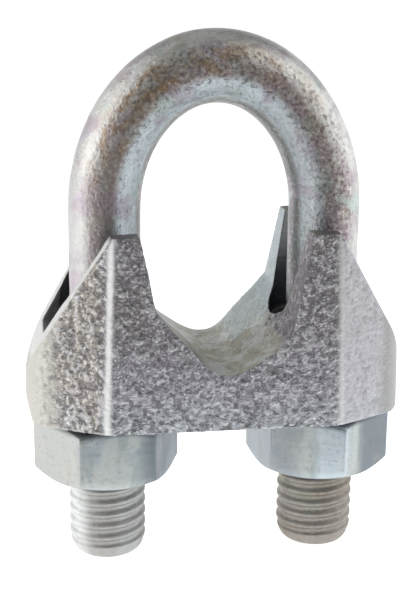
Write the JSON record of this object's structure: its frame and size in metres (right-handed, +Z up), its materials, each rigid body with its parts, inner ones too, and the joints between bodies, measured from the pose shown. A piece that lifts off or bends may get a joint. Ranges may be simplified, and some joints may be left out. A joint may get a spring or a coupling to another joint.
{
  "type": "wire rope clip",
  "caption": "Wire rope clip: a bent U-bolt with threaded legs through a cast saddle, held by hex nuts underneath, zinc plated.",
  "frame": {"origin": "middle of the saddle's flat underside, between the two legs", "axes": "+Z up towards the crown of the U-bolt, rope runs along Y, legs at -X (left) and +X (right), front faces -Y"},
  "size_m": [0.0384, 0.0164, 0.0532],
  "materials": {
    "plated_casting": "rough malleable casting, zinc plated",
    "plated_bar": "bent round bar, bright zinc plated, faint brown and blue tints",
    "plated_nut": "bright zinc plated"
  },
  "bodies": {
    "saddle": {"saddle": "plated_casting"},
    "u_bolt": {"u_bolt": "plated_bar"},
    "nut_left": {"nut_left": "plated_nut"},
    "nut_right": {"nut_right": "plated_nut"}
  },
  "joints": [
    {"name": "nut_left_turn", "type": "hinge", "parent": "saddle", "child": "nut_left", "pos_m": [-0.01105, 0, 0], "axis": [0, 0, 1], "range_deg": [-2300, 2580]},
    {"name": "nut_right_turn", "type": "hinge", "parent": "saddle", "child": "nut_right", "pos_m": [0.01105, 0, 0], "axis": [0, 0, 1], "range_deg": [-2300, 2580]},
    {"name": "u_bolt_travel", "type": "slide", "parent": "saddle", "child": "u_bolt", "axis": [0, 0, 1], "range_m": [-0.009, 0.008]}
  ],
  "couplings": [
    {"joint": "nut_right_turn", "follows": "nut_left_turn", "ratio": 1},
    {"joint": "u_bolt_travel", "follows": "nut_left_turn", "m_per_rad": -0.00019894}
  ]
}
